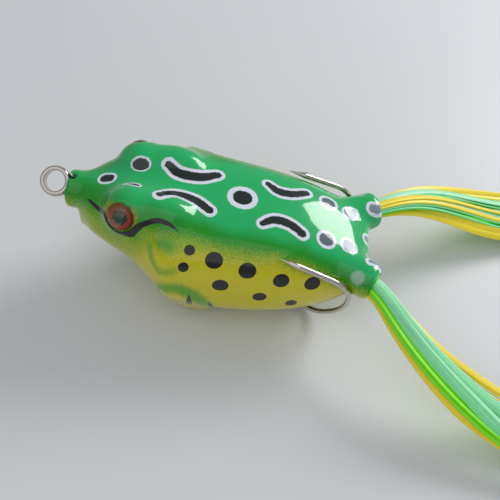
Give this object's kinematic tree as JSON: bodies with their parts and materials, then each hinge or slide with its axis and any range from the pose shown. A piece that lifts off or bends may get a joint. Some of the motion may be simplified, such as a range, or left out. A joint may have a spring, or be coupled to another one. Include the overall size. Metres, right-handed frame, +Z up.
{
  "type": "topwater frog lure",
  "caption": "Hollow soft-bodied frog lure with a double hook along its flanks, domed eyes, belly weight and silicone leg skirts, for fishing on the surface.",
  "frame": {"origin": "centre of the line-tie eye", "axes": "+X from nose to tail, +Z up, +Y to the frog's right"},
  "size_m": [0.1237, 0.0766, 0.0276],
  "materials": {
    "soft_pvc": "gloss",
    "nickel_wire": "bright nickel",
    "cast_lead": "as cast",
    "eye_foil": "printed foil",
    "clear_resin": "clear",
    "black_rubber": "matte",
    "pale_silicone": "satin",
    "lime_silicone": "satin",
    "yellow_silicone": "satin"
  },
  "bodies": {
    "frog": {"body_shell": "soft_pvc", "skirt_hank": "lime_silicone", "left_eye_iris": "eye_foil", "left_eye_lens": "clear_resin", "left_skirt_band": "black_rubber", "right_eye_iris": "eye_foil", "right_eye_lens": "clear_resin", "right_skirt_band": "black_rubber"},
    "hook": {"double_hook": "nickel_wire", "belly_weight": "cast_lead"},
    "left_leg": {"left_pale_strands": "pale_silicone", "left_lime_strands": "lime_silicone", "left_yellow_strands": "yellow_silicone"},
    "left_leg_tip": {"left_pale_tips": "pale_silicone", "left_lime_tips": "lime_silicone", "left_yellow_tips": "yellow_silicone"},
    "right_leg": {"right_pale_strands": "pale_silicone", "right_lime_strands": "lime_silicone", "right_yellow_strands": "yellow_silicone"},
    "right_leg_tip": {"right_pale_tips": "pale_silicone", "right_lime_tips": "lime_silicone", "right_yellow_tips": "yellow_silicone"}
  },
  "joints": [
    {"name": "hook_slide", "type": "slide", "parent": "frog", "child": "hook", "axis": [-0.9152, 0, 0.403], "range_m": [0, 0.002]},
    {"name": "left_leg_sweep", "type": "hinge", "parent": "frog", "child": "left_leg", "pos_m": [0.06327, -0.00947, -0.0057], "axis": [0, 0, 1], "range_deg": [-25, 25], "stiffness_Nm_per_rad": 0.0002},
    {"name": "left_leg_curl", "type": "hinge", "parent": "left_leg", "child": "left_leg_tip", "pos_m": [0.08277, -0.02757, -0.0133], "axis": [0.4472, 0.8944, 0], "range_deg": [-35, 35], "stiffness_Nm_per_rad": 0.0002},
    {"name": "right_leg_sweep", "type": "hinge", "parent": "frog", "child": "right_leg", "pos_m": [0.06327, 0.00947, -0.0057], "axis": [0, 0, 1], "range_deg": [-25, 25], "stiffness_Nm_per_rad": 0.0002},
    {"name": "right_leg_curl", "type": "hinge", "parent": "right_leg", "child": "right_leg_tip", "pos_m": [0.08797, 0.02037, -0.0139], "axis": [-0.2724, 0.9622, 0], "range_deg": [-35, 35], "stiffness_Nm_per_rad": 0.0002}
  ]
}
